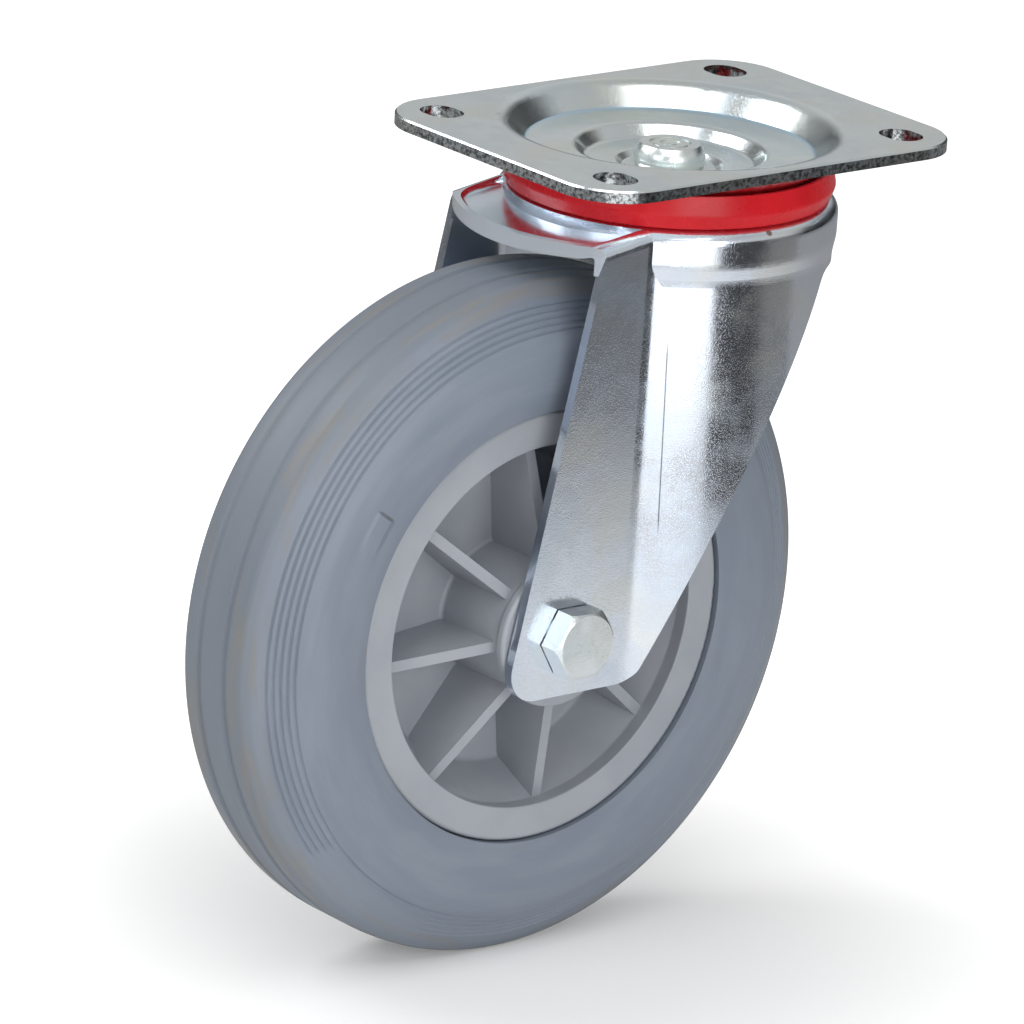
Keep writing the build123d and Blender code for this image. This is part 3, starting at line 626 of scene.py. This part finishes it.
@dataclass(frozen=True)
class Finishes:
    """Every finish on the castor, by the record's material slot."""

    plate: Material = built(PlateZinc())
    fork: Material = built(ForkZinc())
    pin: Material = built(PlatedSteel("pin_zinc", speck=1200.0, roughness=(0.22, 0.34)))
    bolt: Material = built(PlatedSteel("bolt_zinc", tone=(0.86, 0.91, 0.94), roughness=(0.16, 0.28)))
    balls: Material = built(BearingSteel("ball_steel"))
    seal: Material = built(MouldedPlastic(
        "seal_red", tone=(0.62, 0.012, 0.020), shade=(0.52, 0.010, 0.016), roughness=(0.20, 0.30),
        gloss=0.25))
    insert: Material = built(MouldedPlastic(
        "insert_nylon", tone=(0.62, 0.68, 0.74), shade=(0.52, 0.60, 0.68)))
    tyre: Material = built(TyreRubber())
    centre: Material = built(MouldedPlastic(
        "wheel_plastic", tone=(0.336, 0.357, 0.391), shade=(0.299, 0.320, 0.357)))
    cage: Material = built(MouldedPlastic(
        "cage_plastic", tone=(0.10, 0.10, 0.11), shade=(0.07, 0.07, 0.08)))


# ---------------- shared making
def dress(material: Material, *nodes: str) -> None:
    """Give carried-over solids their finish.

    Args:
        material: The finish.
        nodes: Names of the solids' nodes.
    """
    for name in nodes:
        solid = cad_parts[name]
        if not solid.material_slots:
            solid.data.materials.append(material)
        for slot in solid.material_slots:
            slot.link = "OBJECT"
            slot.material = material
        log.info("dressed %s in %s", name, material.name)


def mount(piece: bpy.types.Object, body: Body, slot: str, *replaced: str) -> None:
    """Fix a finished piece to its body.

    Args:
        piece: The finished piece.
        body: The body it moves with.
        slot: The record's material slot of its finish; not used.
        replaced: The nodes it stands for.
    """
    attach(piece, body.value)
    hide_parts(*replaced)
    log.info("made %s, %d faces", piece.name, len(piece.data.polygons))


def smooth(mesh: bpy.types.Mesh, sharp_degrees: float) -> None:
    """Shade a mesh smooth, apart from edges sharper than an angle."""
    mesh.shade_smooth()
    mesh.set_sharp_from_angle(angle=math.radians(sharp_degrees))


def rounded(points: Sequence[Point], radii: Sequence[float], steps: int) -> list[Point]:
    """Round the inner corners of an open line.

    Args:
        points: The line's corners.
        radii: A radius for each inner corner.
        steps: Segments in each arc.

    Returns:
        The line with its arcs.
    """
    line = [points[0]]
    for before, corner, after, radius in zip(points, points[1:], points[2:], radii):
        a, b, c = Vector(before), Vector(corner), Vector(after)
        into, away = (a - b).normalized(), (c - b).normalized()
        half = into.angle(away) / 2
        centre = b + (into + away).normalized() * (radius / math.sin(half))
        first = b + into * (radius / math.tan(half)) - centre
        last = b + away * (radius / math.tan(half)) - centre
        sweep = math.atan2(first.x * last.y - first.y * last.x, first.dot(last))
        for i in range(steps + 1):
            turn = sweep * i / steps
            line.append((centre.x + first.x * math.cos(turn) - first.y * math.sin(turn),
                         centre.y + first.x * math.sin(turn) + first.y * math.cos(turn)))
    return line + [points[-1]]


# ---------------- top plate
@dataclass
class TopPlate:
    """The fixing plate with its king pin, balls and lower race."""

    finishes: Finishes

    def build(self) -> None:
        """Dress the plate's solids."""
        dress(self.finishes.plate, "top_plate")
        dress(self.finishes.pin, "king_pin", "lower_race")
        dress(self.finishes.balls, "upper_balls", "lower_balls")


# ---------------- fork
@dataclass
class AxleBolt:
    """Hexagon bolt whose thread runs from inside the nut to its tip."""

    material: Material
    thread_length: float = 19.0 * MM
    pitch: float = 1.75 * MM
    crest_r: float = 6.0 * MM
    thread_depth: float = 1.0 * MM
    flank_gain: float = 1.15            # over 1, it leaves the thread's root flat
    tip_chamfer: float = 1.2 * MM
    head_height: float = 7.5 * MM
    washer_face: float = 0.4 * MM
    across_flats: float = 19.0 * MM
    washer_face_share: float = 0.96     # of the width across flats
    flat_top_share: float = 0.95        # of the width across flats
    chamfer_degrees: float = 30.0
    sharp_degrees: float = 22.0
    facets: int = 96
    rows_per_turn: int = 14

    def build(self) -> None:
        """Make the head and the shank, join them to the thread and fit the bolt."""
        low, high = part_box("axle_bolt")
        thread = self._thread(low.x)
        head = self._head(high.x - self.head_height, low.x + self.thread_length)
        with bpy.context.temp_override(active_object=thread, selected_editable_objects=[thread, head]):
            bpy.ops.object.join()
        smooth(thread.data, self.sharp_degrees)
        mount(thread, Body.FORK, "bolt_zinc", "axle_bolt")

    def _thread(self, tip_x: float) -> bpy.types.Object:
        """The threaded end, as a sheet wound round the axle."""
        t = GeometryTree("bolt_thread")
        length, pitch = t.size("Length"), t.size("Pitch")
        crest, depth, chamfer, tip = (t.size(name) for name in ("Crest radius", "Depth", "Tip chamfer", "Tip X"))
        rows = int(self.thread_length / self.pitch * self.rows_per_turn)
        sheet = t.grid(self.facets + 1, rows + 1)
        x, y, _ = t.parts(t.node("GeometryNodeInputPosition").outputs[0])
        turn = t.plus(x, 0.5)
        along = t.times(t.plus(y, 0.5), length)
        phase = t.sums("FRACT", t.plus(t.sums("DIVIDE", along, pitch), turn))
        flank = t.times(t.sums("ABSOLUTE", t.sums("SUBTRACT", phase, 0.5)), 2.0)
        cut = t.sums("MINIMUM", t.times(flank, self.flank_gain), 1.0)
        ridge = t.sums("SUBTRACT", crest, t.times(cut, depth))
        taper = t.sums("SUBTRACT", crest, t.sums("SUBTRACT", chamfer, along))
        radius = t.sums("MINIMUM", ridge, taper)
        t.wind(sheet, t.plus(along, tip), radius, t.times(turn, FULL_TURN), self.material)
        return t.bake("axle_bolt_threaded", bpy.data.meshes.new("seed"), {
            "Length": self.thread_length, "Pitch": self.pitch, "Crest radius": self.crest_r,
            "Depth": self.thread_depth, "Tip chamfer": self.tip_chamfer, "Tip X": tip_x, "Axle": WHEEL_AXIS})

    def _head(self, seat_x: float, shank_end_x: float) -> bpy.types.Object:
        """The chamfered hexagon, its washer face and the plain shank.

        Args:
            seat_x: Where the head bears on the leg.
            shank_end_x: Where the thread takes over.

        Returns:
            The head and shank as one object.
        """
        angles = [FULL_TURN * i / self.facets for i in range(self.facets)]
        lines = [self._head_line(angle, shank_end_x - seat_x) for angle in angles]
        mesh = bmesh.new()
        rings = [[mesh.verts.new((seat_x + height, WHEEL_AXIS[1] + radius * math.cos(angle),
                                  WHEEL_AXIS[2] + radius * math.sin(angle)))
                  for angle, (radius, height) in zip(angles, level)] for level in zip(*lines)]
        for inner, outer in zip(rings, rings[1:]):
            for i in range(self.facets):
                j = (i + 1) % self.facets
                mesh.faces.new((inner[i], outer[i], outer[j], inner[j]))
        bmesh.ops.remove_doubles(mesh, verts=mesh.verts, dist=WELD_GAP)
        bmesh.ops.recalc_face_normals(mesh, faces=mesh.faces)
        data = bpy.data.meshes.new("bolt_head")
        mesh.to_mesh(data)
        mesh.free()
        data.materials.append(self.material)
        return add_object("bolt_head", data)

    def _head_line(self, angle: float, shank_end: float) -> list[Point]:
        """The head's outline at one angle, from the middle of its top to the shank's end.

        Args:
            angle: Turn about the axle.
            shank_end: Height of the shank's end over the seat, which is below 0.

        Returns:
            Points of (radius, height over the seat).
        """
        flat_r = self.across_flats / 2
        face_r, flat_top_r = flat_r * self.washer_face_share, flat_r * self.flat_top_share
        reach = flat_r / math.cos((angle % (math.pi / 3)) - math.pi / 6)
        top = self.head_height - max(reach - flat_top_r, 0.0) * math.tan(math.radians(self.chamfer_degrees))
        return [(0.0, self.head_height), (flat_top_r, self.head_height), (reach, top), (reach, self.washer_face),
                (face_r, self.washer_face), (face_r, 0.0), (self.crest_r, 0.0), (self.crest_r, shank_end)]


@dataclass
class Fork:
    """The pressed fork with its seal and everything on its axle."""

    finishes: Finishes

    def build(self) -> None:
        """Dress the fork's solids and fit the bolt."""
        dress(self.finishes.fork, "fork")
        dress(self.finishes.seal, "dust_seal")
        dress(self.finishes.bolt, "axle_nut", "nut_washer", "axle_sleeve", "axle_bolt")
        dress(self.finishes.insert, "nut_insert")
        AxleBolt(self.finishes.bolt).build()


# ---------------- wheel
@dataclass
class Tyre:
    """The moulded tyre: outline, tread grooves, and side rings, of which all but one stop at a bare plate."""

    material: Material
    side_bulge: float = 1.5 * MM
    shoulder_drop: float = 16.0 * MM
    shoulder_r: float = 8.0 * MM
    crown_drop: float = 0.5 * MM
    tread_edge_x: float = 12.9 * MM
    tread_edge_r: float = 2.5 * MM
    tread_flat: float = 9.0 * MM
    tread_round_r: float = 30.0 * MM
    groove_x: float = 5.8 * MM
    groove_mouth: float = 2.9 * MM
    groove_floor: float = 1.3 * MM
    groove_depth: float = 0.7 * MM
    bead_r: float = 64.0 * MM
    seat_x: float = 18.5 * MM
    seat_r: float = 58.5 * MM
    well_r: float = 50.4 * MM
    well_x: float = 4.0 * MM
    rings: int = 5
    ring_drop: float = 13.0 * MM
    ring_pitch: float = 1.63 * MM
    ring_width: float = 0.9 * MM
    ring_depth: float = 0.4 * MM
    plate_start: float = -141.5         # degrees round the axle
    plate_end: float = -112.0
    sharp_degrees: float = 28.0
    arc_steps: int = 8
    segments: int = 360

    def build(self) -> None:
        """Turn the outline round the axle and fit the tyre."""
        t = GeometryTree("turned_tyre")
        count, segments = t.size("Outline points", "NodeSocketInt"), t.size("Segments", "NodeSocketInt")
        start, end = t.size("Plate start"), t.size("Plate end")
        sheet = t.grid(count, t.plus(segments, 1.0))
        position = t.node("GeometryNodeInputPosition").outputs[0]
        x, y, _ = t.parts(position)
        last = t.sums("SUBTRACT", count, 1.0)
        index = t.sums("ROUND", t.times(t.plus(x, 0.5), last))
        outline = self._sampled(t, index, position)
        cut = self._sampled(t, index, t.node("GeometryNodeInputNamedAttribute", {"Name": "ring_cut"},
                                             data_type="FLOAT_VECTOR").outputs[0])
        turn = t.times(y, FULL_TURN)
        plain = t.times(t.sums("GREATER_THAN", turn, start), t.sums("LESS_THAN", turn, end))
        _, _, stops = t.parts(cut)
        left = t.sums("SUBTRACT", 1.0, t.times(plain, stops))
        kept = t.node("ShaderNodeVectorMath", {0: cut, "Scale": left}, operation="SCALE")
        shaped = t.node("ShaderNodeVectorMath", {0: outline, 1: kept.outputs[0]}, operation="ADD")
        across, radius, _ = t.parts(shaped.outputs[0])
        t.wind(sheet, across, radius, turn, self.material)
        seed, points = self._outline_mesh()
        tyre = t.bake("tyre_moulded", seed, {
            "Outline points": points, "Segments": self.segments, "Plate start": math.radians(self.plate_start),
            "Plate end": math.radians(self.plate_end), "Axle": WHEEL_AXIS})
        self._face_outwards(tyre.data)
        smooth(tyre.data, self.sharp_degrees)
        mount(tyre, Body.WHEEL, "tyre_rubber", "tyre")

    @staticmethod
    def _sampled(t: GeometryTree, index: Socket, value: Socket) -> Socket:
        """Read a vector of the incoming outline at a point's number."""
        inputs = {"Geometry": t.entry.outputs["Geometry"], "Index": index, "Value": value}
        return t.node("GeometryNodeSampleIndex", inputs, data_type="FLOAT_VECTOR", domain="POINT").outputs[0]

    @staticmethod
    def _face_outwards(data: bpy.types.Mesh) -> None:
        """Turn every face of a closed mesh outwards."""
        mesh = bmesh.new()
        mesh.from_mesh(data)
        bmesh.ops.recalc_face_normals(mesh, faces=mesh.faces)
        mesh.to_mesh(data)
        mesh.free()

    def _outline_mesh(self) -> tuple[bpy.types.Mesh, int]:
        """The tyre's closed outline as points of (x, radius), each with the cut that a side ring makes there.

        Returns:
            The mesh of points and how many it has.
        """
        low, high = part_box("tyre")
        half, top_r = (high.x - low.x) / 2, (high.y - low.y) / 2
        foot = (half - self.side_bulge, top_r - self.shoulder_drop)
        side = self._bulged_side(half, foot)
        tread_edge = (self.tread_edge_x, top_r - self.crown_drop)
        corners = [side[-2], foot, tread_edge, (self.tread_flat, top_r), (0.0, top_r)]
        radii = [self.shoulder_r, self.tread_edge_r, self.tread_round_r]
        outer = side[:-2] + rounded(corners, radii, self.arc_steps)
        right = self._with_groove(self._with_rings(outer, top_r), top_r)
        left = [(Vector((-p.x, p.y)), Vector((-c.x, c.y, c.z))) for p, c in reversed(right[:-1])]
        bore = [(-foot[0], self.bead_r), (-self.seat_x, self.bead_r), (-self.seat_x, self.seat_r),
                (-self.well_x, self.well_r), (self.well_x, self.well_r), (self.seat_x, self.seat_r),
                (self.seat_x, self.bead_r), (foot[0], self.bead_r)]
        closed = right + left + [(Vector(p), Vector()) for p in bore[1:]]
        data = bpy.data.meshes.new("tyre_outline")
        edges = [(i, i + 1) for i in range(len(closed) - 1)]
        data.from_pydata([(p.x, p.y, 0.0) for p, _ in closed], edges, [])
        cuts = data.attributes.new("ring_cut", "FLOAT_VECTOR", "POINT")
        cuts.data.foreach_set("vector", [n for _, c in closed for n in c])
        return data, len(closed)

    def _bulged_side(self, half: float, foot: Point) -> list[Point]:
        """The side's arc from the bead to the shoulder's foot.

        Args:
            half: Half the tyre's width, at the middle of the side.
            foot: The shoulder's foot.

        Returns:
            The arc's points.
        """
        reach = (foot[1] - self.bead_r) / 2
        arc_r = (reach ** 2 + self.side_bulge ** 2) / (2 * self.side_bulge)
        swing = math.asin(reach / arc_r)
        turns = [swing * (2 * i / self.arc_steps - 1) for i in range(self.arc_steps + 1)]
        return [(half - arc_r * (1 - math.cos(a)), self.bead_r + reach + arc_r * math.sin(a)) for a in turns]

    def _with_rings(self, line: Sequence[Point], top_r: float) -> list[tuple[Vector, Vector]]:
        """Add three points to the outline at each side ring: two edges, and a bottom with its cut.

        Args:
            line: The outline from the bead to the crown.
            top_r: The tyre's radius.

        Returns:
            Each point and its cut, whose third number is 1 where the ring stops at the bare plate. The
            innermost ring runs on.
        """
        marks: list[tuple[float, float, float]] = []
        for i in range(self.rings):
            middle, stops = top_r - self.ring_drop + i * self.ring_pitch, float(i > 0)
            marks += [(middle - self.ring_width / 2, 0.0, stops), (middle, self.ring_depth, stops),
                      (middle + self.ring_width / 2, 0.0, stops)]
        stations: list[tuple[Vector, Vector]] = []
        for a, b in zip(line, line[1:]):
            start, end = Vector(a), Vector(b)
            stations.append((start, Vector()))
            for radius, depth, stops in marks:
                if start.y < radius < end.y:
                    point = start.lerp(end, (radius - start.y) / (end.y - start.y))
                    run = (end - start).normalized()
                    stations.append((point, Vector((-run.y * depth, run.x * depth, stops))))
        stations.append((Vector(line[-1]), Vector()))
        return stations

    def _with_groove(self, stations: list[tuple[Vector, Vector]], top_r: float) -> list[tuple[Vector, Vector]]:
        """Cut the shallow tread groove into the outline near its crown."""
        mouth, floor = self.groove_mouth / 2, self.groove_floor / 2
        kept = [s for s in stations if s[0].x > self.groove_x + mouth]
        bottom = top_r - self.groove_depth
        shape = [(self.groove_x + mouth, top_r), (self.groove_x + floor, bottom),
                 (self.groove_x - floor, bottom), (self.groove_x - mouth, top_r),
                 (self.groove_x / 3, top_r), (0.0, top_r)]
        return kept + [(Vector(p), Vector()) for p in shape]


@dataclass
class Wheel:
    """The wheel: tyre, moulded centre and its roller bearing."""

    finishes: Finishes

    def build(self) -> None:
        """Dress the wheel's solids and fit the tyre."""
        dress(self.finishes.tyre, "tyre")
        dress(self.finishes.centre, "wheel_centre")
        dress(self.finishes.cage, "roller_cage", "near_hub_seal", "far_hub_seal")
        dress(self.finishes.balls, "bearing_shell", "rollers")
        Tyre(self.finishes.tyre).build()


# ---------------- studio
@dataclass
class Lamp:
    """A soft rectangular lamp aimed at the castor."""

    name: str
    at: Place
    size: Size
    power: float
    aim: Place = (0.0, -0.03, -0.12)

    def build(self) -> None:
        """Hang the lamp."""
        data = bpy.data.lights.new(self.name, "AREA")
        data.shape = "RECTANGLE"
        data.size, data.size_y = self.size
        data.energy = self.power
        lamp = add_object(self.name, data)
        lamp.location = self.at
        lamp.rotation_euler = (Vector(self.aim) - Vector(self.at)).to_track_quat("-Z", "Y").to_euler()


@dataclass
class Card:
    """A flat panel that only shows in what the metal mirrors."""

    name: str
    bearing: float          # degrees from +X
    distance: float
    size: Size
    rise: float             # from the floor to its lower edge
    shade: float

    def build(self) -> None:
        """Stand the panel round the castor."""
        angle = math.radians(self.bearing)
        away = Vector((math.cos(angle), math.sin(angle), 0.0))
        side = Vector((-away.y, away.x, 0.0)) * (self.size[0] / 2)
        foot = away * self.distance + Vector((0.0, 0.0, FLOOR_Z + self.rise))
        up = Vector((0.0, 0.0, self.size[1]))
        corners = [foot - side, foot + side, foot + side + up, foot - side + up]
        data = bpy.data.meshes.new(self.name)
        data.from_pydata(corners, [], [(0, 1, 2, 3)])
        paint = bpy.data.materials.new(self.name)
        paint.use_nodes = True
        n = Nodes(paint.node_tree)
        glow = n.node("ShaderNodeEmission", {"Color": (self.shade,) * 3})
        n.node("ShaderNodeOutputMaterial", {"Surface": glow.outputs[0]})
        data.materials.append(paint)
        card = add_object(self.name, data)
        card.visible_camera = card.visible_diffuse = card.visible_shadow = False
        card.visible_transmission = card.visible_volume_scatter = False


@dataclass
class Studio:
    """White surroundings, pale floor, soft lamps and the camera."""

    floor_gap: float = 0.02 * MM    # the tyre stands this far above the floor
    floor_half: float = 4.0
    floor_tone: float = 0.86
    floor_far_tone: float = 0.42
    table_r: Span = (0.30, 0.55)
    glow: Span = (0.15, 0.60)
    glow_r: Span = (0.06, 0.24)
    ambient: float = 0.40
    horizon: float = 0.10
    lower_rise: Span = (0.0, 0.28)
    backdrop: float = 0.53
    upper_rise: Span = (0.40, 0.85)
    overhead: float = 0.44
    dark_end: Span = (0.76, 0.93)
    dark_level: float = 0.12
    dim_side: Span = (-0.96, -0.76)
    dim_level: float = 0.35
    bearing: float = 50.157         # degrees, as are the next two
    height: float = 17.71
    tilt: float = 3.791
    distance: float = 2.2552
    focal: float = 7900.6           # pixels, as are the picture and its centre
    picture: float = 1024.0
    centre: Point = (513.44, 510.19)
    sensor: float = 36.0            # millimetres
    clip: Span = (0.05, 50.0)
    target: Place = (0.0, -25.0 * MM, -110.0 * MM)
    aside: Point = (-18.45 * MM, -1.408 * MM)

    def build(self) -> None:
        """Set up everything round the castor."""
        self._floor()
        self._world()
        for fitting in (
                Lamp("top_lamp", at=(0.55, -0.46, 1.30), size=(1.3, 1.3), power=8.0),
                Lamp("side_lamp", at=(1.45, -0.45, 0.20), size=(0.9, 0.9), power=10.5),
                Lamp("left_lamp", at=(0.25, -1.40, 0.45), size=(0.8, 0.8), power=2.0),
                Lamp("rim_lamp", at=(-0.85, -0.75, 0.90), size=(0.8, 0.8), power=8.0),
                Card("dark_card", bearing=13.2, distance=0.45, size=(0.275, 0.30), rise=0.0, shade=0.05),
                Card("grey_card", bearing=42.7, distance=0.45, size=(0.20, 0.28), rise=0.02, shade=0.17),
                Card("front_card", bearing=-29.8, distance=0.55, size=(0.49, 0.30), rise=0.0, shade=1.50)):
            fitting.build()
        self._camera()

    def _floor(self) -> None:
        """Lay the pale floor, which keeps the castor's shadow and mirrors as a table of limited size."""
        half, z = self.floor_half, FLOOR_Z - self.floor_gap
        corners = [(-half, -half, z), (half, -half, z), (half, half, z), (-half, half, z)]
        data = bpy.data.meshes.new("floor")
        data.from_pydata(corners, [], [(0, 1, 2, 3)])
        s = Shader("floor")
        x, y, _ = s.parts(s.place(WHEEL_AXIS))
        distance = s.length(x, y)
        beyond = s.times(s.ray("Is Glossy Ray"), s.fade(distance, *self.table_r))
        pale, far = ((tone,) * 3 for tone in (self.floor_tone, self.floor_far_tone))
        glow = s.times(s.ray("Is Camera Ray"), s.fade(distance, *self.glow_r, *self.glow))
        s.set(Base_Color=s.blend(beyond, pale, far), Roughness=1.0, Specular_IOR_Level=0.0,
              Emission_Color=(1.0, 1.0, 1.0), Emission_Strength=glow)
        data.materials.append(s.material)
        floor = add_object("floor", data)

    def _world(self) -> None:
        """Plain ambient light, a white backdrop where it is seen, and a room for the metal to mirror."""
        world = bpy.data.worlds.new("studio")
        world.use_nodes = True
        bpy.context.scene.world = world
        n = Nodes(world.node_tree)
        across, along, rise = n.parts(n.node("ShaderNodeTexCoord").outputs["Generated"])
        low = n.fade(rise, *self.lower_rise, self.horizon, self.backdrop)
        high = n.plus(low, n.fade(rise, *self.upper_rise, 0.0, self.overhead - self.backdrop))
        dark = n.fade(along, *self.dark_end, 1.0, self.dark_level)
        dim = n.fade(across, *self.dim_side, self.dim_level, 1.0)
        room = n.times(dark, dim, high)
        seen, mirrored = n.ray("Is Camera Ray"), n.ray("Is Glossy Ray")
        other = n.sums("SUBTRACT", 1.0, n.sums("MAXIMUM", seen, mirrored))
        level = n.sums("MULTIPLY_ADD", mirrored, room, n.sums("MULTIPLY_ADD", other, self.ambient, seen))
        light = n.node("ShaderNodeBackground", {"Color": (1.0, 1.0, 1.0), "Strength": level})
        n.node("ShaderNodeOutputWorld", {"Surface": light.outputs[0]})

    def _camera(self) -> None:
        """Aim the camera at the wheel's near side from a little above."""
        bearing, height, tilt = (math.radians(a) for a in (self.bearing, self.height, self.tilt))
        back = Vector((math.sin(bearing) * math.cos(height), -math.cos(bearing) * math.cos(height),
                       math.sin(height)))
        level = Vector((math.cos(bearing), math.sin(bearing), 0.0))
        upright = back.cross(level)
        right = level * math.cos(tilt) + upright * math.sin(tilt)
        up = upright * math.cos(tilt) - level * math.sin(tilt)
        data = bpy.data.cameras.new("camera")
        data.sensor_fit = "HORIZONTAL"
        data.sensor_width = self.sensor
        data.lens = self.focal / self.picture * self.sensor
        data.shift_x = -(self.centre[0] - self.picture / 2) / self.picture
        data.shift_y = (self.centre[1] - self.picture / 2) / self.picture
        data.clip_start, data.clip_end = self.clip
        camera = add_object("camera", data)
        spot = Vector(self.target) + right * self.aside[0] + up * self.aside[1] + back * self.distance
        camera.matrix_world = Matrix.Translation(spot) @ Matrix((right, up, back)).transposed().to_4x4()
        bpy.context.scene.camera = camera


def main() -> None:
    """Dress the castor, piece by piece, and set up the studio."""
    logging.basicConfig(level=logging.INFO, format="%(message)s")
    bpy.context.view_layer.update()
    bpy.context.scene.view_settings.view_transform = "Standard"
    finishes = Finishes()
    for assembly in (TopPlate(finishes), Fork(finishes), Wheel(finishes), Studio()):
        assembly.build()


if __name__ == "__main__":
    main()
